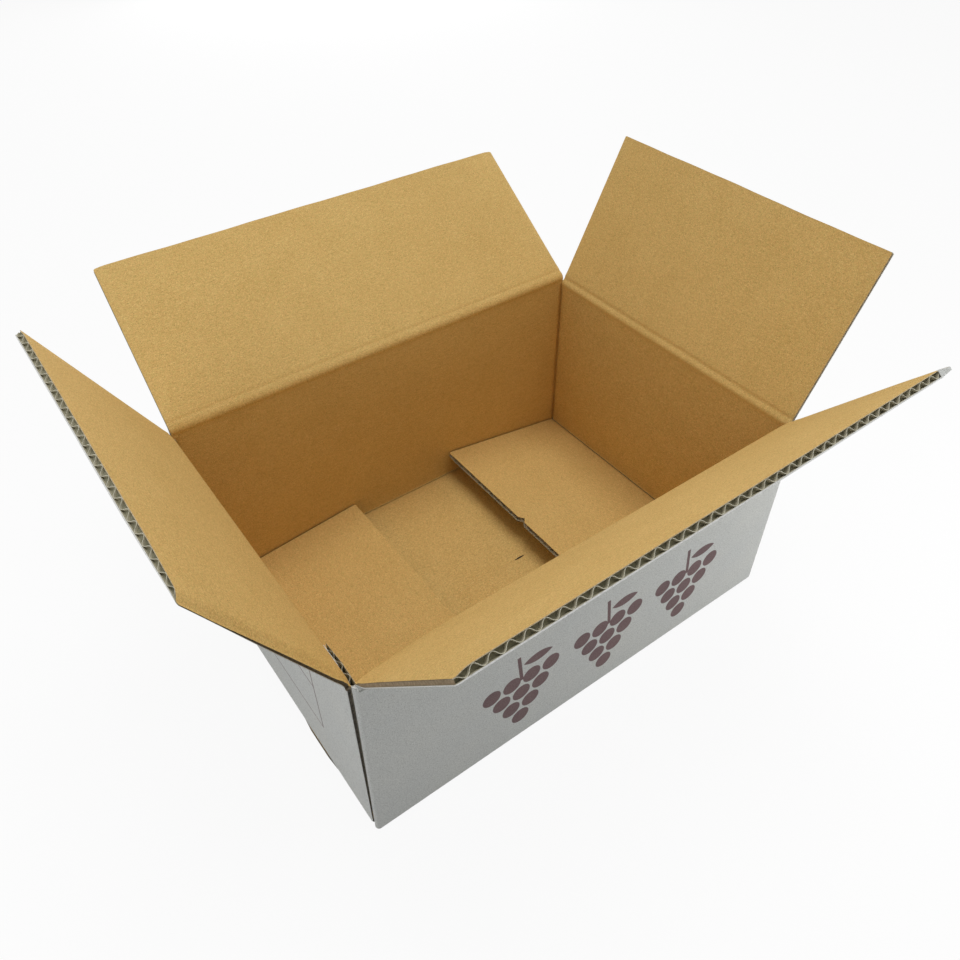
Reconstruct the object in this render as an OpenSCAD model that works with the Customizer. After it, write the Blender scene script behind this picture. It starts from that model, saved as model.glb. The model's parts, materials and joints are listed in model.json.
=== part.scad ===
// Grape box: a slotted carton folded from one sheet of fluted board, standing open.
// X runs along the long walls, Y to the back, Z up. The origin is under the middle of the base.

/* [Box] */
// Outside length of the carton
box_l = 350; // [290:1:430]
// Outside width of the carton
box_w = 248; // [200:1:270]
// Height of the long walls' top crease above the ground
wall_h = 161; // [150:1:220]

/* [Board] */
// Thickness of the fluted board
board_t = 4.6; // [3.5:0.1:5.5]
// Distance from one flute to the next
flute_pitch = 8.8; // [7:0.1:11]
// Thickness of each flat liner
liner_t = 0.5; // [0.3:0.05:0.7]
// Thickness of the wavy middle sheet
medium_t = 0.45; // [0.3:0.05:0.6]
// Outside radius of a folded corner
fold_r = 3.8; // [1:0.1:4.5]

/* [Top flaps] */
// Length of a top flap from its crease to its cut edge
top_flap_l = 122; // [60:1:123]
// How far a long flap stops short of the end wall's outside, at the slot
slot_w = 8; // [6:0.5:14]
// Lean of the front flap, outwards from upright
front_lean = 41; // [0:1:120]
// Lean of the back flap, outwards from upright
back_lean = 54; // [0:1:120]
// Lean of the left flap, outwards from upright
left_lean = 29; // [0:1:120]
// Lean of the right flap, outwards from upright
right_lean = 27; // [0:1:120]

/* [Bottom flaps] */
// Length of a bottom flap from its crease to its cut edge
bottom_flap_l = 123; // [60:1:124]
// Lift of the left inner flap above the floor
left_lift = 5.5; // [0:0.5:40]
// Lift of the right inner flap above the floor
right_lift = 9; // [0:0.5:40]
// Width of the gauge notch in an inner flap's cut edge
notch_w = 9; // [4:0.5:20]
// Depth of that notch
notch_d = 4; // [1:0.5:12]
// Distance of that notch from the middle of the edge, to the flap's right as it points in
notch_off = 15; // [0:0.5:40]
// Gap at the seam where the two outer flaps meet
seam_gap = 0.6; // [0.3:0.1:4]
// Length of the slit where the seam stands open
slit_l = 11; // [5:0.5:30]
// Width of that slit
slit_w = 1.8; // [1:0.1:4]
// Distance of the slit's middle from the middle of the box
slit_x = 36; // [0:1:60]

/* [Glue tab] */
// Reach of the tab along the left wall, from the front wall's inside
tab_reach = 37.5; // [20:0.5:50]
// Room under the tab, above the inner bottom flap's crease
tab_rise = 12; // [10:0.5:25]

/* [Hidden] */
$fn = 48;

half_l = box_l / 2;
half_w = box_w / 2;
// Inside faces of the end walls and of the long walls
in_x = half_l - board_t;
in_y = half_w - board_t;

// Running clearance between pieces that move past each other
run_gap = 0.3;
// Space between the ends of two pieces that share a crease
crease_gap = 0.3;
// Side play of an end flap between the long walls
side_play = 1.2;
// Extra reach of every cut past the face that it opens
overrun = 2;

// The end flaps tuck under the long flaps, so the end walls' crease lies one board lower
end_crease_z = wall_h - board_t - run_gap;
// Stretch of a flap beside its crease where the flutes are crushed shut
crushed_l = board_t * 2;
end_flap_w = 2 * (in_y - side_play);
long_flap_w = box_l - 2 * slot_w;

// Flat top of each wave, as a share of the flute pitch
wave_top_share = 0.2;
// Slant thickness of the middle sheet along the board, as a share of its own thickness
medium_slant_share = 2;
// Plain board left beside the first and last flute, as a share of the flute pitch
plain_edge_share = 0.25;

// The inner bottom flaps fold up about the inside edge of their own upper face
floor_z = board_t;
bottom_crease_z = floor_z + run_gap + board_t;
tab_bottom_z = bottom_crease_z + tab_rise;
tab_top_z = end_crease_z - board_t - run_gap;
tab_end_y = -in_y + tab_reach;

// The left wall's square cut end stops just short of the front wall's face
joint_setback = 0.4;
// The outer bottom flaps stop just short of the end walls' outsides
base_inset = 0.5;

module rect(x0, x1, y0, y1) {
    translate([x0, y0])
        square([x1 - x0, y1 - y0]);
}

// Plan outline with a folded, rounded edge at each corner
module fold_outline(x0, x1, y0, y1) {
    rect(x0 + fold_r, x1 - fold_r, y0, y1);
    rect(x0, x1, y0 + fold_r, y1 - fold_r);
    for (x = [x0 + fold_r, x1 - fold_r], y = [y0 + fold_r, y1 - fold_r])
        translate([x, y])
            circle(fold_r);
}

// One hollow beside the wavy middle sheet, wide at the upper liner
module flute_hollow() {
    narrow = flute_pitch * wave_top_share / 2;
    wide = flute_pitch / 2 - narrow - medium_t * medium_slant_share;
    low = liner_t + medium_t;
    high = board_t - liner_t;
    polygon([[-narrow, low], [narrow, low], [wide, high], [-wide, high]]);
}

// Cut end of a board of width w: two liners with the wave between them
module fluted_section(w) {
    count = floor(w / flute_pitch - plain_edge_share * 2);
    first = -(count - 1) * flute_pitch / 2;
    difference() {
        rect(-w / 2, w / 2, 0, board_t);
        for (i = [0 : count - 1])
            translate([first + i * flute_pitch, 0])
                flute_hollow();
        for (i = [0 : count - 2])
            translate([first + (i + 1 / 2) * flute_pitch, board_t])
                mirror([0, 1])
                    flute_hollow();
    }
}

// Flap standing upright on its crease, which runs along X through the origin on the outer
// face. The board's thickness runs inwards along Y. The crease is bevelled on the inside,
// so that the flap folds in to a right angle.
module top_flap(w) {
    translate([0, 0, crushed_l])
        linear_extrude(top_flap_l - crushed_l)
            fluted_section(w);
    rotate([90, 0, 90])
        translate([0, 0, -w / 2])
            linear_extrude(w)
                polygon([[0, crease_gap], [board_t, crease_gap + board_t],
                         [board_t, crushed_l], [0, crushed_l]]);
}

// Inner bottom flap lying flat along X from its crease at the origin, with its upper face
// at the crease's height
module bottom_flap() {
    difference() {
        translate([0, 0, -board_t]) {
            translate([crease_gap, -end_flap_w / 2, 0])
                cube([crushed_l - crease_gap, end_flap_w, board_t]);
            translate([crushed_l, 0, 0])
                rotate([90, 0, 90])
                    linear_extrude(bottom_flap_l - crushed_l)
                        fluted_section(end_flap_w);
        }
        translate([bottom_flap_l, -notch_off, -board_t - overrun])
            linear_extrude(board_t + 2 * overrun)
                polygon([[overrun, -notch_w / 2], [0, -notch_w / 2], [-notch_d, 0],
                         [0, notch_w / 2], [overrun, notch_w / 2]]);
    }
}

// Plan of the four walls: the left wall's end is cut square at the front corner, and the
// front wall turns in behind it
module wall_plan() {
    difference() {
        fold_outline(-in_x, half_l, -half_w, half_w);
        rect(-half_l, in_x, -in_y, in_y);
    }
    difference() {
        intersection() {
            fold_outline(-half_l, half_l, -box_w, half_w);
            rect(-half_l, half_l, -half_w + joint_setback, half_w);
        }
        rect(-in_x, half_l + overrun, -box_w, in_y);
        rect(0, half_l + overrun, -box_w, box_w);
    }
}

// Space outside a rounded fold that runs along X at the origin, with the board above and
// towards +Y
module outside_of_fold(run) {
    rotate([90, 0, 90])
        translate([0, 0, -run / 2])
            linear_extrude(run)
                difference() {
                    rect(-overrun, fold_r, -overrun, fold_r);
                    translate([fold_r, fold_r])
                        circle(fold_r);
                }
}

// Bevel on the inside of a wall's top edge, for a crease along X at the origin on the
// outer face
module crease_bevel(run) {
    rotate([90, 0, 90])
        translate([0, 0, -run / 2])
            linear_extrude(run)
                polygon([[0, 0], [board_t + overrun, -board_t - overrun],
                         [board_t + overrun, overrun], [0, overrun]]);
}

// Outer bottom flaps, turned in from the long walls to meet at the seam
module base_plan() {
    for (side = [0, 1])
        mirror([0, side])
            difference() {
                intersection() {
                    fold_outline(-half_l, half_l, -half_w, half_w);
                    rect(-half_l + base_inset, half_l - base_inset, -half_w, -seam_gap / 2);
                }
                rect(slit_x - slit_l / 2, slit_x + slit_l / 2, -slit_w / 2, 0);
            }
}

// Tab turned in from the front wall. Its glued face and its folded end are let into the two
// walls by a liner, so that all three join as one solid
module glue_tab() {
    translate([-in_x, (tab_end_y - in_y) / 2, tab_bottom_z])
        linear_extrude(tab_top_z - tab_bottom_z)
            rotate(-90) {
                fluted_section(tab_reach);
                rect(-tab_reach / 2, tab_reach / 2 + liner_t, -liner_t, liner_t / 2);
                rect(tab_reach / 2 - liner_t, tab_reach / 2 + liner_t, -liner_t, board_t);
            }
}

// Walls, glue tab and outer bottom flaps: the part of the sheet that stays put
module carton() {
    color("gainsboro")
        difference() {
            union() {
                translate([0, 0, floor_z])
                    linear_extrude(wall_h - floor_z)
                        wall_plan();
                linear_extrude(board_t)
                    base_plan();
                glue_tab();
            }
            // Rounded folds along the long bottom edges
            for (turn = [0, 180])
                rotate(turn)
                    translate([0, -half_w, 0])
                        outside_of_fold(box_l + 2 * overrun);
            // Rounded folds of the end walls, above the outer flaps' ends
            for (turn = [-90, 90])
                rotate(turn)
                    translate([0, -half_l, floor_z])
                        intersection() {
                            outside_of_fold(box_w + 2 * overrun);
                            translate([-box_w, -overrun, 0])
                                cube([2 * box_w, fold_r + overrun, fold_r]);
                        }
            // Bevelled creases of the long flaps
            for (turn = [0, 180])
                rotate(turn)
                    translate([0, -half_w, wall_h])
                        crease_bevel(box_l + 2 * overrun);
            // End walls and corner posts stop at the end flaps' crease, where the slots end
            for (side = [0, 1])
                mirror([side, 0])
                    translate([half_l - slot_w + crease_gap, -box_w / 2 - overrun, end_crease_z])
                        cube([slot_w + overrun, box_w + 2 * overrun, wall_h]);
            // Bevelled creases of the end flaps
            for (turn = [-90, 90])
                rotate(turn)
                    translate([0, -half_l, end_crease_z])
                        crease_bevel(2 * in_y);
        }
}

module front_top_flap() {
    color("burlywood")
        translate([0, -half_w, wall_h])
            rotate([front_lean, 0, 0])
                top_flap(long_flap_w);
}

module back_top_flap() {
    color("burlywood")
        rotate(180)
            translate([0, -half_w, wall_h])
                rotate([back_lean, 0, 0])
                    top_flap(long_flap_w);
}

module left_top_flap() {
    color("burlywood")
        rotate(-90)
            translate([0, -half_l, end_crease_z])
                rotate([left_lean, 0, 0])
                    top_flap(end_flap_w);
}

module right_top_flap() {
    color("burlywood")
        rotate(90)
            translate([0, -half_l, end_crease_z])
                rotate([right_lean, 0, 0])
                    top_flap(end_flap_w);
}

module left_bottom_flap() {
    color("tan")
        translate([-in_x, 0, bottom_crease_z])
            rotate([0, -left_lift, 0])
                bottom_flap();
}

module right_bottom_flap() {
    color("tan")
        rotate(180)
            translate([-in_x, 0, bottom_crease_z])
                rotate([0, -right_lift, 0])
                    bottom_flap();
}

carton();
front_top_flap();
back_top_flap();
left_top_flap();
right_top_flap();
left_bottom_flap();
right_bottom_flap();
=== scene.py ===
import json
import math
import bmesh
import bpy
import numpy as np
from mathutils import Matrix, Vector


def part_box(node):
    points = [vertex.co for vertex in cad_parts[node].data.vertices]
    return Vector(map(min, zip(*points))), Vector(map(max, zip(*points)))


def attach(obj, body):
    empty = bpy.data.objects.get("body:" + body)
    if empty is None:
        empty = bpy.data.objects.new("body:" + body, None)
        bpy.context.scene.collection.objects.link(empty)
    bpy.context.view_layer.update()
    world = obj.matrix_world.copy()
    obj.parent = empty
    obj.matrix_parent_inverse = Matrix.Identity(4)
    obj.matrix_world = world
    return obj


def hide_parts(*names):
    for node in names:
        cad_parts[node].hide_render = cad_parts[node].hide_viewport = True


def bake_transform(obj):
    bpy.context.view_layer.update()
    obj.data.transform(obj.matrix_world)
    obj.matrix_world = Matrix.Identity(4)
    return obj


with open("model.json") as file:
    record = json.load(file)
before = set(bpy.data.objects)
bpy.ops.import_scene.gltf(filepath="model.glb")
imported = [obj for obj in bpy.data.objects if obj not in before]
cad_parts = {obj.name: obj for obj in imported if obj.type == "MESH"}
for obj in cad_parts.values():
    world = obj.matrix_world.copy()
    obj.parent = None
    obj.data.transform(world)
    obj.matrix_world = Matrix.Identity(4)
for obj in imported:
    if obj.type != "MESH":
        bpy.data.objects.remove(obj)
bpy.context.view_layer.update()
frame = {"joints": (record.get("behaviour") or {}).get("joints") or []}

# The walls: one long strip of white-lined fluted board, scored and folded round into a
# rectangle. The left wall ends in a square cut at the front corner, and the front wall
# turns in behind it. The foot of every wall rolls under into a bottom flap.
board_t = 0.0046
face_t = 0.0007
liner_t = 0.0004
flute_pitch = 0.0088
corner_r = 0.0028
foot_r = 0.0028
tight_r = 0.0006
flap_root = 0.006
root_lap = 0.0015
corner_sag = 0.0043
sag_run = 0.03
paper_gloss = 0.22
half_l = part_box("carton")[1][0]
half_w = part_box("carton")[1][1]
folds = {joint["name"]: joint for joint in frame["joints"]}
long_crease_z = folds["front_flap_fold"]["pos_m"][2]
end_crease_z = folds["left_flap_fold"]["pos_m"][2]
long_flap_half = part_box("front_top_flap")[1][0]
end_flap_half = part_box("left_top_flap")[1][1]


class Tone:
    """A socket of a material's nodes that can stand in a sum."""

    def __init__(self, tree, socket=None):
        self.tree = tree
        self.socket = socket

    def node(self, kind, settings=None, sockets=None, out=0):
        made = self.tree.nodes.new(kind)
        for key, value in (settings or {}).items():
            setattr(made, key, value)
        for key, value in (sockets or {}).items():
            if isinstance(value, Tone):
                self.tree.links.new(value.socket, made.inputs[key])
            else:
                made.inputs[key].default_value = value
        return Tone(self.tree, made.outputs[out] if len(made.outputs) else None)

    def sum(self, operation, first, second=0.0):
        return self.node("ShaderNodeMath", {"operation": operation}, {0: first, 1: second})

    def __add__(self, other):
        return self.sum("ADD", self, other)

    def __radd__(self, other):
        return self.sum("ADD", other, self)

    def __sub__(self, other):
        return self.sum("SUBTRACT", self, other)

    def __rsub__(self, other):
        return self.sum("SUBTRACT", other, self)

    def __mul__(self, other):
        return self.sum("MULTIPLY", self, other)

    def __rmul__(self, other):
        return self.sum("MULTIPLY", other, self)

    def __lt__(self, other):
        return self.sum("LESS_THAN", self, other)

    def __gt__(self, other):
        return self.sum("GREATER_THAN", self, other)

    def __abs__(self):
        return self.sum("ABSOLUTE", self)


def paper(name, roughness):
    """A new material, its start Tone and its shader node."""
    material = bpy.data.materials.new(name)
    material.use_nodes = True
    shader = material.node_tree.nodes["Principled BSDF"]
    shader.inputs["Roughness"].default_value = roughness
    shader.inputs["Specular IOR Level"].default_value = paper_gloss
    return material, Tone(material.node_tree), shader


def grain(start, place, scale, detail=3.0, rough=0.55):
    return start.node("ShaderNodeTexNoise", {"noise_dimensions": "3D"},
                      {"Vector": place, "Scale": scale, "Detail": detail, "Roughness": rough})


def fibres(start, place, across, lengthwise, crosswise):
    """A grain drawn out into long fibres; across is 0 for X, 1 for Y."""
    scales = [crosswise] * 3
    scales[across] = lengthwise
    drawn_out = start.node("ShaderNodeVectorMath", {"operation": "MULTIPLY"}, {0: place, 1: scales})
    return grain(start, drawn_out, 1.0, 2.0)


def axis(start, place, which):
    return start.node("ShaderNodeSeparateXYZ", {}, {0: place}, out=which)


def washboard(start, place, across):
    """The shallow waves that the flutes press through a liner."""
    return start.sum("SINE", axis(start, place, across) * (2 * math.pi / flute_pitch))


def tint(start, share, first, second):
    return start.node("ShaderNodeMix", {"data_type": "RGBA"}, {0: share, 6: first, 7: second}, out=2)


def level(start, value, low, high, low_out=0.0, high_out=1.0):
    return start.node("ShaderNodeMapRange", {"clamp": True},
                      {0: value, 1: low, 2: high, 3: low_out, 4: high_out})


def stained(start, colour, stains):
    """The colour under its stains: each a grain, where it begins and is full, its share and its colour."""
    for spread, begins, full, share, stain in stains:
        colour = tint(start, level(start, spread, begins, full, 0.0, share), colour, stain)
    return colour


def relief(start, shader, height, strength, depth):
    bump = start.node("ShaderNodeBump", {}, {"Height": height, "Strength": strength, "Distance": depth})
    dress(start, shader, "Normal", bump)


def dress(start, shader, socket, tone):
    start.tree.links.new(tone.socket, shader.inputs[socket])


def kraft_liner(name, across):
    """Brown liner, its fibres lying across the flutes; across is 0 for X, 1 for Y."""
    deep_brown = (0.688, 0.453, 0.152, 1)
    light_brown = (0.743, 0.502, 0.180, 1)
    material, start, shader = paper(name, 0.86)
    place = start.node("ShaderNodeTexCoord", out="Object")
    fibre = fibres(start, place, across, 330.0, 900.0)
    speck = grain(start, place, 1400.0, 2.0, 0.6)
    fleck = grain(start, place, 620.0, 2.0, 0.5)
    cloud = grain(start, place, 30.0, 4.0, 0.6)
    shade = grain(start, place, 7.0, 2.0, 0.5)
    colour = tint(start, level(start, cloud, 0.32, 0.70), deep_brown, light_brown)
    colour = stained(start, colour, (
        (shade, 0.35, 0.65, 0.30, (0.704, 0.438, 0.140, 1)),
        (fleck, 0.50, 0.72, 0.45, (0.770, 0.461, 0.170, 1)),
        (fleck, 0.50, 0.28, 0.45, (0.649, 0.505, 0.160, 1)),
        (fibre, 0.54, 0.80, 0.50, (0.495, 0.313, 0.100, 1)),
        (fibre, 0.46, 0.22, 0.45, (0.880, 0.622, 0.255, 1)),
        (speck, 0.54, 0.74, 0.85, (0.396, 0.246, 0.078, 1)),
        (speck, 0.46, 0.26, 0.80, (0.950, 0.722, 0.310, 1))))
    height = fibre * 0.5 + speck * 0.35 + washboard(start, place, across) * 0.10
    dress(start, shader, "Base Color", colour)
    dress(start, shader, "Roughness", level(start, fibre, 0.3, 0.7, 0.80, 0.92))
    relief(start, shader, height, 0.25, 0.00014)
    return material


def berry_print(start, place):
    """Share of ink on the front wall: a row of three plain bunches of round berries."""
    row_x = 0.012
    row_pitch = 0.074
    foot_z = 0.026
    ranks = 4
    rank_step = 0.0137
    berry_step = 0.0158
    berry_r = 0.0072
    stalk_z = foot_z + rank_step * (ranks - 1)
    stalk_l = 0.026
    stalk_half = 0.0014
    stalk_slope = 0.12
    leaf_x = 0.0125
    leaf_r = 0.0180
    leaf_low = 0.0020
    leaf_high = 0.0290
    blur = 0.0004
    x = axis(start, place, 0) - row_x
    y = axis(start, place, 1)
    z = axis(start, place, 2)
    in_row = abs(x) < 1.5 * row_pitch
    on_front = y < -half_w + corner_r
    wrapped = start.node("ShaderNodeMath", {"operation": "WRAP"},
                         {0: x, 1: -row_pitch / 2, 2: row_pitch / 2})
    spot = start.node("ShaderNodeCombineXYZ", {}, {0: wrapped, 2: z})

    def disc(across, height, radius):
        away = start.node("ShaderNodeVectorMath", {"operation": "DISTANCE"},
                          {0: spot, 1: (across, 0.0, height)}, out="Value")
        return level(start, away, radius, radius - blur)

    stalk_middle = wrapped + (z - stalk_z) * stalk_slope
    ink = (abs(stalk_middle) < stalk_half) * (z > stalk_z) * (z < stalk_z + stalk_l)
    for rank in range(ranks):
        for i in range(rank + 1):
            berry = disc((i - rank / 2) * berry_step, foot_z + rank_step * rank, berry_r)
            ink = start.sum("MAXIMUM", ink, berry)
    leaf = disc(leaf_x, stalk_z + leaf_low, leaf_r) * disc(leaf_x, stalk_z + leaf_high, leaf_r)
    return start.sum("MAXIMUM", ink, leaf) * in_row * on_front


def frame_print(start, place):
    """Share of ink on the left wall: an empty ruled frame in hairlines."""
    hair = 0.00058
    frame_z = 0.084
    frame_half_z = 0.037
    frame_half_y = 0.067
    rule_z = 0.092
    rule_y = 0.021
    skin = 0.003
    x = axis(start, place, 0)
    y = axis(start, place, 1)
    z = axis(start, place, 2)
    inside = (abs(y) < frame_half_y + hair) * (abs(z - frame_z) < frame_half_z + hair)
    lines = abs(abs(y) - frame_half_y) < hair
    for rule in (abs(abs(z - frame_z) - frame_half_z) < hair,
                 (abs(z - rule_z) < hair) * (y < rule_y),
                 abs(y - rule_y) < hair):
        lines = start.sum("MAXIMUM", lines, rule)
    return lines * inside * (x < -half_l + skin)


def white_liner(name, across, print_share=None):
    """Clay-white outer liner with a faint washboard from the flutes under it."""
    cool_white = (0.615, 0.629, 0.610, 1)
    warm_white = (0.655, 0.662, 0.628, 1)
    dark_ink = (0.118, 0.060, 0.062, 1)
    thin_ink = (0.150, 0.080, 0.080, 1)
    material, start, shader = paper(name, 0.62)
    place = start.node("ShaderNodeTexCoord", out="Object")
    fibre = fibres(start, place, across, 300.0, 1000.0)
    speck = grain(start, place, 1300.0, 2.0, 0.6)
    cloud = grain(start, place, 22.0, 4.0, 0.6)
    colour = tint(start, level(start, cloud, 0.3, 0.7), cool_white, warm_white)
    colour = stained(start, colour, (
        (fibre, 0.55, 0.80, 0.45, (0.497, 0.502, 0.475, 1)),
        (speck, 0.54, 0.74, 0.90, (0.386, 0.387, 0.364, 1)),
        (speck, 0.46, 0.26, 0.85, (0.828, 0.839, 0.805, 1))))
    if print_share:
        worn = level(start, speck + fibre * 0.5, 0.62, 0.98, 1.0, 0.85)
        ink_colour = tint(start, level(start, cloud, 0.35, 0.65), dark_ink, thin_ink)
        colour = tint(start, print_share(start, place) * worn, colour, ink_colour)
    height = fibre * 0.4 + speck * 0.3 + washboard(start, place, across) * 0.12
    dress(start, shader, "Base Color", colour)
    dress(start, shader, "Roughness", level(start, fibre, 0.3, 0.7, 0.56, 0.70))
    relief(start, shader, height, 0.15, 0.00012)
    return material


def raw_edge(name, dark, pale, tooth):
    """Cut paper with the fuzz of a blade, from dark to pale."""
    material, start, shader = paper(name, 0.92)
    place = start.node("ShaderNodeTexCoord", out="Object")
    fuzz = grain(start, place, tooth, 3.0, 0.65)
    tuft = grain(start, place, tooth * 0.22, 2.0, 0.5)
    colour = tint(start, level(start, fuzz, 0.34, 0.66), dark, pale)
    colour = stained(start, colour, ((tuft, 0.60, 0.74, 0.5, pale),))
    dress(start, shader, "Base Color", colour)
    dress(start, shader, "Roughness", level(start, fuzz, 0.3, 0.7, 0.86, 0.97))
    relief(start, shader, fuzz, 0.5, 0.0002)
    return material


paints = {
    "kraft_long": kraft_liner("kraft_liner_long", 0),
    "kraft_end": kraft_liner("kraft_liner_end", 1),
    "white_long": white_liner("white_liner_long", 0, berry_print),
    "white_end": white_liner("white_liner_end", 1, frame_print),
    "white_plain": white_liner("white_liner_flap", 0),
    "white_cut": raw_edge("white_liner_cut", (0.68, 0.68, 0.65, 1), (0.88, 0.88, 0.86, 1), 900.0),
    # Painted shade: the white liner's cut edge, greyed for the shade it lies in on the inner bottom flaps.
    "grey_cut": raw_edge("dull_liner_cut", (0.30, 0.28, 0.24, 1), (0.52, 0.49, 0.42, 1), 600.0),
    "kraft_cut": raw_edge("kraft_liner_cut", (0.42, 0.31, 0.17, 1), (0.70, 0.60, 0.42, 1), 900.0),
    "wave_paper": raw_edge("flute_paper", (0.46, 0.43, 0.32, 1), (0.60, 0.56, 0.43, 1), 420.0),
    "wave_cut": raw_edge("flute_paper_cut", (0.58, 0.55, 0.43, 1), (0.78, 0.75, 0.62, 1), 900.0),
    # Painted shade: the same flute paper as wave_paper, darkened for the shade deep in the open flutes.
    "hollow": raw_edge("flute_hollow", (0.26, 0.25, 0.17, 1), (0.40, 0.38, 0.27, 1), 420.0),
    "side_cut": raw_edge("flute_side_cut", (0.22, 0.165, 0.10, 1), (0.42, 0.325, 0.215, 1), 600.0),
    "post_cut": raw_edge("corner_top_cut", (0.36, 0.25, 0.11, 1), (0.54, 0.38, 0.18, 1), 600.0),
    # Painted shade: a shaded copy of side_cut, for cut sides and liner rims that lie in shade.
    "side_dark": raw_edge("crushed_side_cut", (0.085, 0.066, 0.040, 1), (0.22, 0.17, 0.11, 1), 600.0),
    # Grey-brown cut paper with painted shade: near-black for cut ends whose flutes and the gaps beside them
    # lie in shade.
    "joint_cut": raw_edge("wall_end_cut", (0.040, 0.036, 0.030, 1), (0.15, 0.13, 0.10, 1), 520.0),
}


class Sheets:
    """The papers of one piece of board, gathered into a single mesh."""

    def __init__(self):
        self.points = []
        self.faces = []
        self.names = []
        self.count = 0

    def add(self, outer, inner, outer_paint, inner_paint, edge_paint):
        """One paper between two grids; a paint may be a list, with one name for each row or edge."""
        rows, columns = outer.shape[:2]
        top = self.count + np.arange(rows * columns).reshape(rows, columns)
        low = top + rows * columns
        self.points += [outer.reshape(-1, 3), inner.reshape(-1, 3)]
        self.count += 2 * rows * columns
        for grid, paint in ((top, outer_paint), (low, inner_paint)):
            quads = np.stack([grid[:-1, :-1], grid[1:, :-1], grid[1:, 1:], grid[:-1, 1:]], -1)
            self.faces += quads.reshape(-1, 4).tolist()
            for name in [paint] * (rows - 1) if isinstance(paint, str) else paint:
                self.names += [name] * (columns - 1)
        upper = np.concatenate([top[0, :-1], top[:-1, -1], top[-1, :0:-1], top[:0:-1, 0]])
        lower = np.concatenate([low[0, :-1], low[:-1, -1], low[-1, :0:-1], low[:0:-1, 0]])
        rim = np.stack([upper, np.roll(upper, -1), np.roll(lower, -1), lower], -1)
        self.faces += rim.tolist()
        sides = (edge_paint,) * 4 if isinstance(edge_paint, str) else edge_paint
        for name, length in zip(sides, (columns - 1, rows - 1, columns - 1, rows - 1)):
            self.names += [name] * length if isinstance(name, str) else name

    def board(self, outer, inner, outer_paint, inner_paint, sunk, rims, core_rims):
        """Two liners with a crushed core between them, set back from the cut edges."""
        upper = outer + (inner - outer) * (face_t / board_t)
        lower = inner + (outer - inner) * (liner_t / board_t)
        self.add(outer, upper, outer_paint, "wave_paper", rims[0])
        self.add(lower, inner, "wave_paper", inner_paint, rims[1])
        self.add(set_back(upper, sunk), set_back(lower, sunk), "wave_paper", "wave_paper", core_rims)

    def piece(self, name):
        crisp_from = math.radians(38)
        mesh = bpy.data.meshes.new(name)
        mesh.from_pydata(np.concatenate(self.points).tolist(), [], self.faces)
        used = sorted(set(self.names))
        for paint in used:
            mesh.materials.append(paints[paint])
        mesh.polygons.foreach_set("material_index", [used.index(n) for n in self.names])
        shape = bmesh.new()
        shape.from_mesh(mesh)
        bmesh.ops.recalc_face_normals(shape, faces=shape.faces)
        shape.to_mesh(mesh)
        shape.free()
        mesh.shade_smooth()
        mesh.set_sharp_from_angle(angle=crisp_from)
        made = bpy.data.objects.new(name, mesh)
        bpy.context.scene.collection.objects.link(made)
        return made


def set_back(grid, sunk):
    """The same grid with its outer rows and columns pulled in by a small step."""
    grid = grid.copy()
    for lines in (grid, grid.swapaxes(0, 1)):
        for edge, inside in ((0, 1), (-1, -2)):
            step = lines[inside] - lines[edge]
            length = np.linalg.norm(step, axis=-1, keepdims=True)
            lines[edge] += step * (sunk / np.maximum(length, sunk * 1.02))
    return grid


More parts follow.
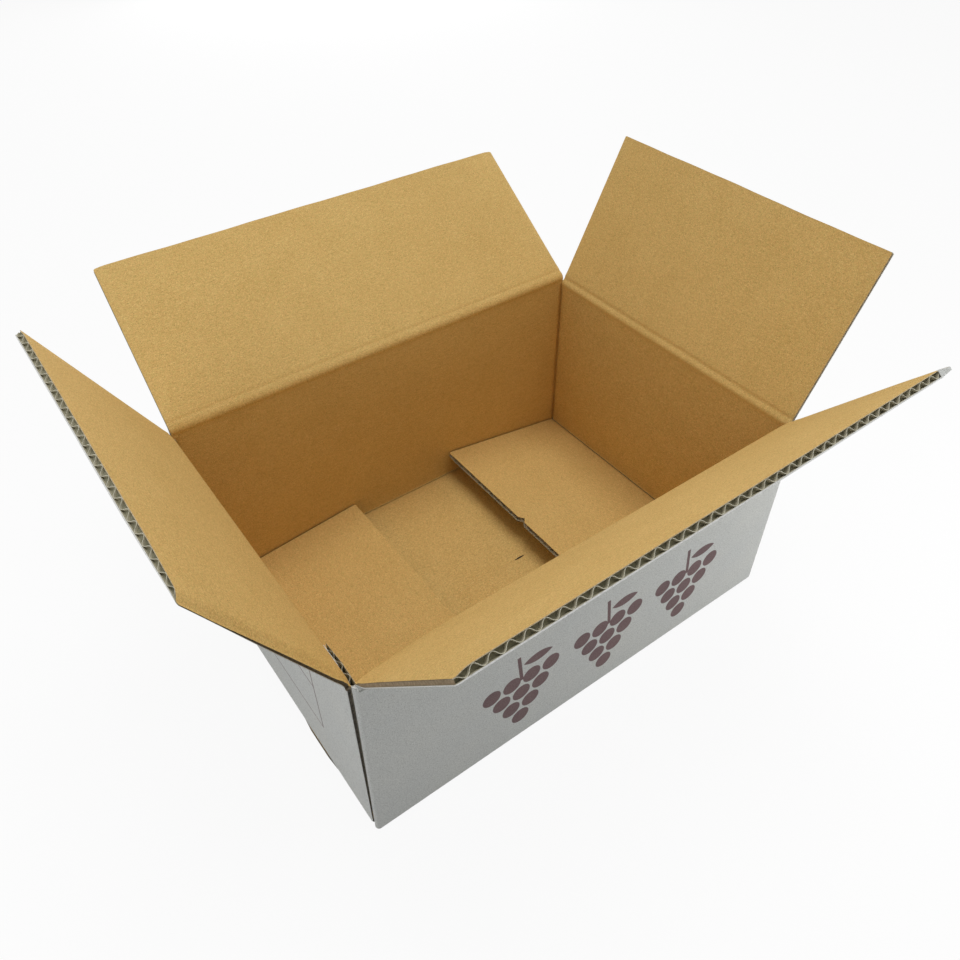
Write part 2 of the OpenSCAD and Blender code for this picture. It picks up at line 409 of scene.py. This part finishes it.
def wall_strip():
    """Plan of the strip: outer point, inner point, inward way, foot height, top height, panel."""
    groove_deep = 0.0021
    groove_start = 0.12
    arc_steps = 8
    steps = []

    def straight(start, end, inward, foot, tops, panel):
        start = np.array(start)
        end = np.array(end)
        inward = np.array(inward)
        for share, top in tops:
            point = start + (end - start) * share
            steps.append((point, point + inward * board_t, inward, foot, top, panel))

    def corner(sharp, first, last, feet, tops, panels, leave=True):
        """A bend from one way to the other, in degrees, scored along its inside."""
        ways = []
        for turn in (first, last):
            angle = math.radians(turn)
            ways.append(np.array([math.cos(angle), math.sin(angle)]))
        both = ways[0] + ways[1]
        outer_centre = np.array(sharp) - corner_r * both
        inner_centre = np.array(sharp) - (board_t + tight_r) * both
        groove = both * groove_deep

        def flat(end, along, share):
            way = ways[end]
            run = along * np.array([way[1], -way[0]])
            inner = inner_centre + tight_r * way + run + groove * share
            steps.append((outer_centre + corner_r * way + run, inner, -way, feet[end], tops[end], panels[end]))

        flat(0, -0.0022, 0.0)
        flat(0, -0.0008, groove_start)
        for i in range(arc_steps + 1):
            angle = math.radians(first + (last - first) * i / arc_steps)
            way = np.array([math.cos(angle), math.sin(angle)])
            inner = inner_centre + tight_r * way + groove
            foot = feet[0] + (feet[1] - feet[0]) * i / arc_steps
            top = tops[0] + (tops[1] - tops[0]) * min(1.0, i / 3)
            panel = panels[i > arc_steps / 2]
            steps.append((outer_centre + corner_r * way, inner, -way, foot, top, panel))
        if leave:
            flat(1, 0.0008, groove_start)
            flat(1, 0.0022, 0.0)

    end_foot = board_t
    long_low = long_crease_z - flap_root + root_lap
    end_low = end_crease_z - flap_root + root_lap
    post_z = end_crease_z - 0.0004
    cut_z = end_crease_z - 0.0014
    fold_z = end_crease_z + 0.0012
    cut_y = -half_w + 0.0033
    bend_y = half_w - 0.0085
    flap_from = (-end_flap_half - cut_y) / (bend_y - cut_y)
    left_tops = [(0.0, cut_z), (flap_from - 0.001, cut_z)]
    left_tops += [(share, end_low) for share in np.linspace(flap_from, 1.0, 23)]
    straight((-half_l, cut_y), (-half_l, bend_y), (1, 0), end_foot, left_tops, "end")
    corner((-half_l, half_w), 180, 90, (end_foot, 0.0), (post_z, post_z), ("end", "long"))
    back_tops = [(share, long_low) for share in np.linspace(0.0, 1.0, 21)]
    straight((-long_flap_half, half_w), (long_flap_half, half_w), (0, -1), 0.0, back_tops, "long")
    corner((half_l, half_w), 90, 0, (0.0, end_foot), (post_z, post_z), ("long", "end"))
    right_tops = [(share, end_low) for share in np.linspace(0.0, 1.0, 21)]
    straight((half_l, bend_y), (half_l, -bend_y), (-1, 0), end_foot, right_tops, "end")
    corner((half_l, -half_w), 0, -90, (end_foot, 0.0), (post_z, post_z), ("end", "long"))
    tab_x = -half_l + board_t
    fold_x = tab_x + 0.0084
    front_tops = []
    for share in np.linspace(0.0, 1.0, 41):
        from_fold = (1 - share) * (long_flap_half - fold_x)
        front_tops.append((share, long_low - corner_sag * math.exp(-(from_fold / sag_run) ** 2)))
    straight((long_flap_half, -half_w), (fold_x, -half_w), (0, 1), 0.0, front_tops, "long")
    corner((tab_x, -half_w), -90, -180, (0.0, 0.0), (long_low - corner_sag, fold_z), ("long", "long"),
           leave=False)
    return steps


def skew(z):
    """How far the glued corner has crept to the left: more at the foot than at the top."""
    at_top = 0.0019
    more_at_foot = 0.0021
    top_z = 0.155
    return at_top + more_at_foot * np.clip(1 - z / top_z, 0, 1) ** 1.2


walls = Sheets()
strip = wall_strip()
panel_names = [step[5] for step in strip]
foot_turns = np.radians(np.linspace(6, 90, 8))
rises = np.linspace(0.0, 1.0, 12)[1:]
cut_foot_lift = 0.0028
outer_grid = []
inner_grid = []
for count, (point, inner, inward, foot, top, panel) in enumerate(strip):
    outer_column = []
    inner_column = []
    if count == 0:
        foot = foot + cut_foot_lift
    for turn in foot_turns:
        outer_spot = point + inward * foot_r * (1 - math.sin(turn))
        outer_column.append((*outer_spot, foot + foot_r * (1 - math.cos(turn))))
        inner_spot = inner + inward * tight_r * (1 - math.sin(turn))
        inner_column.append((*inner_spot, foot + board_t + tight_r * (1 - math.cos(turn))))
    for rise in rises:
        outer_column.append((*point, foot + foot_r + (top - foot - foot_r) * rise))
        low = foot + board_t + tight_r
        inner_column.append((*inner, low + (top - low) * rise))
    outer_grid.append(outer_column)
    inner_grid.append(inner_column)
outer_grid = np.array(outer_grid)
inner_grid = np.array(inner_grid)

skew_from_x = -0.146
thin_from_y = -0.102
skew_run = 0.018
front_depth = 0.012
left_wall_steps = 25
for grid in (outer_grid, inner_grid):
    front = (grid[..., 1] < -half_w + front_depth) & (np.array(panel_names)[:, None] == "long")
    moved = np.clip((skew_from_x - grid[..., 0]) / skew_run, 0, 1)
    grid[..., 0] -= np.where(front, skew(grid[..., 2]) * moved, 0.0)
left_wall = np.arange(len(strip))[:, None] < left_wall_steps
thinned = np.clip((thin_from_y - inner_grid[..., 1]) / skew_run, 0, 1)
inner_grid[..., 0] -= np.where(left_wall, skew(inner_grid[..., 2]) * thinned, 0.0)

# The wall's cut end at the joint, its top and the far rims carry painted shade: the near-black and dark brown
# cut paints stand for shade in their flutes.
cut_tops = ["side_dark"] * 2
fold_tops = ["white_cut"] * 11
plain_tops = ["post_cut"] * (len(strip) - 1 - len(cut_tops) - len(fold_tops))
tops = cut_tops + plain_tops + fold_tops
white_rims = ("white_cut", tops, "white_cut", "white_cut")
brown_rims = ("joint_cut", tops, "side_dark", "kraft_cut")
wall_core_rims = ("joint_cut", tops, "side_dark", "joint_cut")
walls.board(outer_grid, inner_grid, [f"white_{name}" for name in panel_names[:-1]],
            [f"kraft_{name}" for name in panel_names[:-1]], 0.0004, (white_rims, brown_rims), wall_core_rims)
carton_walls = walls.piece("carton_walls")
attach(carton_walls, "box")
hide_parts("carton")

# The glue tab: the end of the same strip, turned in at the front corner and stuck to the
# inside of the left wall. Its top is cut square across the flutes, which show there, and
# the glue press has flattened it towards its free edge.
tab_reach = 0.0375
tab_low_z = 0.0215
tab_top_z = 0.1488


def waves(sheets, surface, a_from, a_to, ends, phase):
    """The wavy middle sheet of a board, from one side to the other, between its liners."""
    steps_per_wave = 16
    half = 0.00018 / board_t
    count = int(round((a_to - a_from) / flute_pitch * steps_per_wave))
    a = np.linspace(a_from, a_to, count + 1)
    swing = np.cos(2 * math.pi * (a / flute_pitch + phase))
    middle = 0.5 - 0.5 * np.sign(swing) * np.abs(swing) ** 0.85
    low = face_t / board_t + half
    share = low + (1 - liner_t / board_t - half - low) * middle
    rows = np.linspace(0.0, 1.0, 6)
    first, last = ends(a)
    u = first[:, None] + (last - first)[:, None] * rows[None, :]
    spread = np.repeat(a[:, None], len(rows), 1)
    sheets.add(surface(spread, u, (share - half)[:, None]), surface(spread, u, (share + half)[:, None]),
               "wave_paper", "wave_paper", "wave_cut")


def liners(sheets, surface, a, u, outer_paint, inner_paint, outer_rim="white_cut"):
    """The two flat papers of a board: white outside, brown inside."""
    outside = np.zeros_like(u)
    sheets.add(surface(a, u, outside), surface(a, u, outside + face_t / board_t),
               outer_paint, "wave_paper", outer_rim)
    # The brown liner's rims carry painted shade, all but the one at its cut end.
    sheets.add(surface(a, u, outside + 1 - liner_t / board_t), surface(a, u, outside + 1),
               "wave_paper", inner_paint, ("side_dark", "kraft_cut", "side_dark", "side_dark"))


def core(sheets, surface, a, u, rims):
    """What fills a board behind the first few millimetres of its cut edge."""
    outside = np.zeros_like(u)
    sheets.add(surface(a, u, outside + face_t / board_t), surface(a, u, outside + 1 - liner_t / board_t),
               "wave_paper", "wave_paper", rims)


def tab_surface(a, u, share):
    """Outer face at share 0: a runs back along the left wall, u is the height."""
    white_t = 0.0009
    glue_t = 0.00025
    fold_lap = 0.0002
    fold_run = 0.022
    along = np.clip(a / tab_reach, 0, 1)
    depth = board_t * (0.98 - 0.44 * along)
    skin = face_t / board_t
    under_skin = white_t + (depth - white_t) * (share - skin) / (1 - skin)
    deep = np.where(share <= skin, white_t * share / skin, under_skin)
    x = -half_l + board_t - skew(u) * np.clip(1 - a / fold_run, 0, 1) + glue_t + deep
    y = -half_w + corner_r + a - fold_lap
    return np.stack(np.broadcast_arrays(x, y, u + 0 * x), -1)


tab = Sheets()
tab_heights = np.array([tab_low_z, 0.05, 0.09, 0.11, 0.13, 0.145, tab_top_z])
tab_a, tab_u = np.meshgrid(np.linspace(0.0, tab_reach - 0.0006, 14), tab_heights, indexing="ij")
liners(tab, tab_surface, tab_a, tab_u, "white_plain", "kraft_end")
waves(tab, tab_surface, 0.0008, tab_reach - 0.0008,
      lambda a: (tab_low_z + 0.0003 + 0 * a, tab_top_z - 0.0002 + 0 * a), 0.15)
glue_tab = tab.piece("glue_tab")
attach(glue_tab, "box")
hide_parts("carton")

# The outer bottom flaps: the long walls' feet, turned in under the box until their cut
# edges butt in a seam along the middle of the floor. The seam stands open in one place,
# and the front flap's side shows as a dark line under the left wall. Their side ends carry
# painted shade: near-black for the shade in their flutes and in the gaps beside them.
slit_x = 0.036
slit_half = 0.0052
slit_open = 0.0008
seam_half = 0.00003


def floor_flap(name, side):
    """One flap of the floor: side is -1 at the front and 1 at the back."""
    end_inset = 0.0005
    left_inset = 0.0020
    right_inset = 0.0014
    peek_out = 0.0003
    valley_deep = 0.0013
    foot_y = half_w - foot_r * 0.95
    x = np.concatenate([np.linspace(-half_l + end_inset, slit_x - 0.012, 60),
                        np.linspace(slit_x - 0.010, slit_x + 0.010, 25),
                        np.linspace(slit_x + 0.012, half_l - end_inset, 40)])
    seam = seam_half + slit_open * np.clip(1 - ((x - slit_x) / slit_half) ** 2, 0, 1)
    rows = np.array([0.0, 0.006, 0.012, 0.018, 0.03, 0.10, 0.3, 0.42, 0.5, 0.6, 0.7, 0.84, 0.92, 0.97, 1.0])
    y = foot_y + (seam[:, None] - foot_y) * rows[None, :]
    shut_y = foot_y + (seam_half - foot_y) * rows[None, :] + 0 * y
    shift = np.zeros_like(y)
    shift[:2] = left_inset
    if side < 0:
        peek = np.clip((y[:2] - 0.016) / 0.010, 0, 1) * np.clip((0.080 - y[:2]) / 0.014, 0, 1)
        shift[:2] = left_inset * (1 - peek) - peek_out * peek
    shift[-2:] = -right_inset
    spread = np.repeat(x[:, None], len(rows), 1) + shift
    valley = valley_deep * np.exp(-((half_w - board_t - y) / 0.0014) ** 2)
    lower = np.stack([spread, side * shut_y, np.zeros_like(y)], -1)
    upper = np.stack([spread, side * y, board_t - valley], -1)
    # The flap's side ends and its core are near-black: cut paper with painted shade for its flutes and the
    # gaps beside them.
    rims = ("joint_cut", "kraft_cut", "joint_cut", "kraft_cut")
    sheets = Sheets()
    sheets.board(lower, upper, "white_plain", "kraft_long", 0.0002, (rims, rims), "joint_cut")
    made = sheets.piece(name)
    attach(made, "box")
    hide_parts("carton")


floor_flap("front_floor_flap", -1)
floor_flap("back_floor_flap", 1)

# The inner bottom flaps: the end walls' feet, folded in over the outer ones. They spring
# up a little from their creases, and each has a gauge notch in its cut edge, a little to
# one side of the middle.
floor_flap_l = 0.123
notch_half = 0.0042
notch_off = 0.015


def inner_floor_flap(name, node, body, joint_name, notch_deep):
    corner_round = 0.0015
    hollow_in = 0.0032
    wave_in = 0.0060
    fine_to = 0.015
    fold = folds[joint_name]
    pivot = np.array(fold["pos_m"])
    towards = -np.sign(pivot[0])
    lift = -math.radians(fold["range_deg"][0])
    run = np.array([towards * math.cos(lift), 0.0, math.sin(lift)])
    up = np.array([-towards * math.sin(lift), 0.0, math.cos(lift)])
    half = end_flap_half
    notch_a = -notch_off * towards

    def cut_end(a):
        notch = notch_deep * np.clip(1 - np.abs(a - notch_a) / notch_half, 0, 1)
        rounding = 0.0007 * np.clip((np.abs(a) - half + corner_round) / corner_round, 0, 1) ** 2
        return floor_flap_l - notch - rounding + 0.00008 * np.sin(a * 70 + towards)

    def surface(a, u, share):
        """A runs along the crease and u away from it; share is 0 on the white face, 1 on the brown."""
        squeeze = 1 - 0.42 * np.exp(-(u / 0.0030) ** 2)
        pinch = 1 - 0.30 * np.exp(-((half - np.abs(a)) / 0.006) ** 2 - ((floor_flap_l - u) / 0.008) ** 2)
        sunk = 0.0014 * np.exp(-(u / 0.0022) ** 2)
        height = (share - 1) * board_t * squeeze * pinch - sunk
        spot = pivot + u[..., None] * run + height[..., None] * up
        spot[..., 1] += a
        return spot

    sheets = Sheets()
    near_corner = np.linspace(0, corner_round, 4)
    a = np.unique(np.round(np.concatenate([
        np.linspace(-half, half, 61), notch_a + np.linspace(-notch_half, notch_half, 9),
        half - near_corner, -half + near_corner]), 6))
    near = np.array([0.0001, 0.0008, 0.0014, 0.002, 0.003, 0.004, 0.006, 0.009, fine_to])
    far = np.linspace(0.0, 1.0, 12)[1:]
    end = cut_end(a)
    u = np.concatenate([np.repeat(near[None, :], len(a), 0),
                        fine_to + (end[:, None] - fine_to) * far[None, :]], 1)
    # The white liner's rims are greyed with painted shade, and its rim along the crease is near-black.
    liners(sheets, surface, np.repeat(a[:, None], u.shape[1], 1), u, "white_plain", "kraft_end",
           ("grey_cut", "grey_cut", "grey_cut", "joint_cut"))
    waves(sheets, surface, -half + 0.0004, half - 0.0004,
          lambda a: (cut_end(a) - wave_in, cut_end(a) - 0.0003), 0.3)
    core_a = np.clip(a, -half + 0.0006, half - 0.0006)[:, None] + 0 * u
    # The core's free end carries painted shade in dark brown, and its crease end in near-black.
    core(sheets, surface, core_a, u * (1 - hollow_in / floor_flap_l),
         ("side_cut", "side_dark", "side_cut", "joint_cut"))
    made = sheets.piece(name)
    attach(made, body)
    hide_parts(node)


inner_floor_flap("left_inner_flap", "left_bottom_flap", "left_floor_flap", "left_floor_flap_lift",
                 notch_deep=0.0018)
inner_floor_flap("right_inner_flap", "right_bottom_flap", "right_floor_flap", "right_floor_flap_lift",
                 notch_deep=0.0036)

# The top flaps: the upper ends of the four walls, cut apart at the corners by slots and
# creased. They stand open, bent outwards along a crushed score, and handling has
# pinched some of their corners flat.
top_flap_l = 0.122
score_band = 0.008


def top_flap(name, node, joint_name, kraft, phase, reach, flare=(0.0, 0.0), crush=(0.30, 0.30),
             twist=(0.0, 0.0), pinches=(), side_paint="side_cut", turned_corner=False, sag=0.0,
             hollow_in=0.0030, ridge=0.0007):
    """Reach, flare, crush and twist are each for the low and the high end of the crease.

    A pinch gives its end, its distance from the crease, its width along and depth across,
    and how far it presses the white and the brown face in.
    """
    wave_in = 0.0070
    crush_run = 0.0045
    flare_run = 0.04
    fine_to = 0.014
    fold = folds[joint_name]
    pivot = np.array(fold["pos_m"])
    out = np.array([np.sign(pivot[0]), np.sign(pivot[1]), 0.0])
    side = np.cross((0, 0, 1), out)
    rise = np.array([0.0, 0.0, 1.0])
    lean = math.radians(fold["range_deg"][1] - 90)
    half = long_flap_half if abs(out[1]) > 0.5 else end_flap_half
    a_low = -half - reach[0]
    a_high = half + reach[1]
    bend_r = score_band / lean - board_t
    tangent = bend_r * math.tan(lean / 2)

    def cut_end(a, trim=0.0):
        corner = np.maximum(a - a_high, a_low - a)
        rounding = 0.0006 * np.clip(1 + corner / 0.0012, 0, 1) ** 2
        ragged = 0.00016 * np.sin(a * 47 + phase) + 0.00008 * np.sin(a * 151)
        return top_flap_l - rounding - trim + ragged

    def surface(a, u, share):
        """A runs along the crease and u away from it; share is 0 on the white face, 1 on the brown."""
        across = np.clip((a - a_low) / (a_high - a_low), 0, 1)
        leaned = lean + np.radians(twist[0] + (twist[1] - twist[0]) * across)
        turn = leaned * np.clip((u + tangent) / (2 * tangent), 0, 1)
        face_o = bend_r * (1 - np.cos(turn)) + np.maximum(u - tangent, 0) * np.sin(leaned)
        face_z = (bend_r * np.sin(turn) - tangent + np.minimum(u + tangent, 0)
                  + np.maximum(u - tangent, 0) * np.cos(leaned))
        groove = 0.0005 * np.exp(-((u - 0.0024) / 0.0015) ** 2)
        score = groove - ridge * np.exp(-((u + 0.0010) / 0.0018) ** 2)
        proud = 0.0001 * np.clip(-u / 0.004, 0, 1)
        from_low = np.maximum(a - a_low, 0)
        from_high = np.maximum(a_high - a, 0)
        low = np.zeros_like(a + u)
        high = (crush[0] * np.exp(-(from_low / crush_run) ** 2)
                + crush[1] * np.exp(-(from_high / crush_run) ** 2)) * np.clip(0.5 + u / 0.02, 0, 1)
        for end, near, along, depth, from_outside, from_inside in pinches:
            away = from_high if end > 0 else from_low
            squeeze = np.exp(-(away / along) ** 2 - ((u - near) / depth) ** 2)
            low = low + from_outside * squeeze
            high = high + from_inside * squeeze
        deep = board_t * (low + (1 - low - np.minimum(high, 0.9 - low)) * share) - score * share
        deep = deep + proud * (2 * share - 1)
        splay = np.clip(1 - u / top_flap_l, 0, 1)
        o = face_o - deep * np.cos(turn)
        z = face_z + deep * np.sin(turn) - sag * np.exp(-(from_low / sag_run) ** 2) * splay
        a = (a - flare[0] * splay * np.clip(1 - from_low / flare_run, 0, 1)
             + flare[1] * splay * np.clip(1 - from_high / flare_run, 0, 1))
        return pivot + a[..., None] * side + o[..., None] * out + z[..., None] * rise

    near_side = np.linspace(0, 0.009, 9)
    a = np.unique(np.round(np.concatenate([
        np.linspace(a_low, a_high, 61), a_high - near_side, a_low + near_side]), 6))
    near = np.concatenate([[-flap_root, -0.0050], np.linspace(-0.0042, 0.0042, 17),
                           [0.005, 0.0062, 0.009, fine_to]])
    far = np.linspace(0.0, 1.0, 14)[1:] ** 0.8

    def rows(end):
        return np.concatenate([np.repeat(near[None, :], len(a), 0),
                               fine_to + (end[:, None] - fine_to) * far[None, :]], 1)

    sheets = Sheets()
    u = rows(cut_end(a))
    wide = np.repeat(a[:, None], u.shape[1], 1)
    liners(sheets, surface, wide, u, "white_plain", kraft)
    waves(sheets, surface, a_low + 0.0004, a_high - 0.0004,
          lambda a: (cut_end(a, wave_in), cut_end(a, 0.0003)), phase)
    inset = np.where(np.minimum(a - a_low, a_high - a) < 0.0008, 0.0004, hollow_in)
    # The core's cut end takes the darkened flute paint: painted shade for the open flutes.
    core(sheets, surface, np.clip(wide, a_low + 0.0005, a_high - 0.0005), rows(cut_end(a, inset)),
         (side_paint, "hollow", side_paint, side_paint))
    if turned_corner:
        tip_a = np.linspace(a_high - 0.0095, a_high + 0.0004, 9)
        grown = np.linspace(0.15, 1.0, 9)[:, None]
        back_by = np.array([[0.007, 0.004, 0.001, 0, 0, 0, 0, 0.001, 0.003, 0.005]])
        path_u = top_flap_l + 0.0004 - grown * back_by
        path_share = np.array([[-0.02, -0.02, 0.0, 0.10, 0.35, 0.65, 0.88, 0.98, 1.0, 1.0]]) + 0 * grown
        spread = tip_a[:, None] + 0 * path_u
        sheets.add(surface(spread, path_u, path_share * 1.06 - 0.02),
                   surface(spread, path_u - 0.0003, path_share * 0.96 + 0.02),
                   "white_plain", "white_plain", "white_cut")
    made = sheets.piece(name)
    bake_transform(made)
    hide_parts(node)


top_flap("front_flap_board", "front_top_flap", "front_flap_fold", "kraft_long",
         phase=0.0, reach=(-0.0034, -0.0055), flare=(0.0066, 0.0045), crush=(0.32, 0.2), twist=(0.3, -0.5),
         pinches=((-1, 0.0, 0.010, 0.030, 0.0, 0.10), (-1, 0.0, 0.007, 0.006, 0.45, 0.0),
                  (1, top_flap_l, 0.006, 0.02, 0.18, 0.10)),
         turned_corner=True, sag=corner_sag)
top_flap("back_flap_board", "back_top_flap", "back_flap_fold", "kraft_long",
         phase=0.4, reach=(0.0030, 0.0005), flare=(0.0015, 0.0045))
# The left flap's cut sides take the shaded side paint: painted shade, as they face down and to the front.
top_flap("left_flap_board", "left_top_flap", "left_flap_fold", "kraft_end",
         phase=0.2, reach=(0.0006, -0.0020), flare=(0.0, 0.0028), crush=(0.15, 0.58),
         pinches=((1, top_flap_l, 0.030, 0.05, 0.18, 0.22),),
         side_paint="side_dark", hollow_in=0.0016, ridge=-0.0010)
top_flap("right_flap_board", "right_top_flap", "right_flap_fold", "kraft_end",
         phase=0.7, reach=(0.0, 0.0010))

# The floor: a pale table top that the box stands on. It is white to the camera, with a
# faint shadow, and duller to the light that it throws back.
table_half = 4.0
table_z = -0.0003
table_white = 0.92
table_mesh = bpy.data.meshes.new("table_top")
table_mesh.from_pydata([(-table_half, -table_half, table_z), (table_half, -table_half, table_z),
                        (table_half, table_half, table_z), (-table_half, table_half, table_z)],
                       [], [(0, 1, 2, 3)])
table_top = bpy.data.objects.new("table_top", table_mesh)
bpy.context.scene.collection.objects.link(table_top)
table_paint = bpy.data.materials.new("table_top_white")
table_paint.use_nodes = True
table_paint.node_tree.nodes.clear()
table_start = Tone(table_paint.node_tree)


def in_sight(start):
    """1 for what the camera sees, straight or by way of a shiny or a clear surface, else 0."""
    seen = start.node("ShaderNodeLightPath", out="Is Camera Ray")
    mirrored = start.node("ShaderNodeLightPath", out="Is Glossy Ray")
    through = start.node("ShaderNodeLightPath", out="Is Transmission Ray")
    return start.sum("MINIMUM", seen + mirrored + through, 1.0)


table_grain = grain(table_start, table_start.node("ShaderNodeTexCoord", out="Object"), 300.0)
table_colour = tint(table_start, level(table_start, table_grain, 0.3, 0.7), (0.40, 0.40, 0.40, 1),
                    (0.43, 0.43, 0.43, 1))
dull = table_start.node("ShaderNodeBsdfDiffuse", {}, {"Color": table_colour})
pale = table_start.node("ShaderNodeBsdfDiffuse", {}, {"Color": (0.9, 0.9, 0.9, 1)})
bright = table_start.node("ShaderNodeEmission", {}, {"Color": (1, 1, 1, 1), "Strength": 1.0})
table_front = table_start.node("ShaderNodeMixShader", {}, {0: table_white, 1: pale, 2: bright})
table_mix = table_start.node("ShaderNodeMixShader", {}, {0: in_sight(table_start), 1: dull, 2: table_front})
table_start.node("ShaderNodeOutputMaterial", {}, {"Surface": table_mix})
table_mesh.materials.append(table_paint)

# The light: a white room with a wide soft box overhead and three smaller ones, far to the
# left, low on the right and low behind, for the outsides of the walls.
room_glow = 0.295
room = bpy.data.worlds.new("white_room")
bpy.context.scene.world = room
room.use_nodes = True
room.node_tree.nodes.clear()
room_start = Tone(room.node_tree)
glow = room_start.node("ShaderNodeBackground", {}, {"Color": (1, 1, 1, 1), "Strength": room_glow})
blank_wall = room_start.node("ShaderNodeBackground", {}, {"Color": (1, 1, 1, 1), "Strength": 1.0})
room_mix = room_start.node("ShaderNodeMixShader", {}, {0: in_sight(room_start), 1: glow, 2: blank_wall})
room_start.node("ShaderNodeOutputWorld", {}, {"Surface": room_mix})


def soft_box(name, place, aim, size, power):
    lamp = bpy.data.lights.new(name, "AREA")
    lamp.shape = "SQUARE"
    lamp.size = size
    lamp.energy = power
    made = bpy.data.objects.new(name, lamp)
    made.location = place
    made.visible_camera = False
    made.rotation_euler = (Vector(aim) - Vector(place)).to_track_quat("-Z", "Y").to_euler()
    bpy.context.scene.collection.objects.link(made)


soft_box("overhead_box", (0.28, 0.10, 1.8), (0.0, 0.0, 0.05), size=1.0, power=13.6)
soft_box("left_box", (-1.1, -0.25, 0.40), (-0.1, -0.02, 0.10), size=0.7, power=3.0)
soft_box("side_box", (0.50, -0.50, 0.12), (0.12, -0.12, 0.06), size=0.35, power=1.8)
soft_box("back_box", (0.85, 1.75, 0.31), (0.08, 0.12, 0.08), size=0.9, power=8.4)

# The camera: above the front left corner, looking down into the open box.
azimuth = math.radians(-36.06)
elevation = math.radians(43.13)
roll = math.radians(-0.34)
distance = 0.68177
focal_px = 835.68
picture_px = 960
aim = Vector((0.03489, 0.05268, 0.05250))
away = Vector((math.sin(azimuth) * math.cos(elevation), -math.cos(azimuth) * math.cos(elevation),
               math.sin(elevation)))
right = Vector((0, 0, 1)).cross(away).normalized()
over = away.cross(right)
turned_right = right * math.cos(roll) + over * math.sin(roll)
turned_over = over * math.cos(roll) - right * math.sin(roll)
view = bpy.data.cameras.new("photo_view")
view.sensor_width = 36.0
view.lens = view.sensor_width * focal_px / picture_px
eye = bpy.data.objects.new("photo_view", view)
eye.matrix_world = Matrix.Translation(aim + away * distance) @ Matrix(
    (turned_right, turned_over, away)).transposed().to_4x4()
bpy.context.scene.collection.objects.link(eye)
bpy.context.scene.camera = eye
bpy.context.scene.view_settings.view_transform = "Standard"
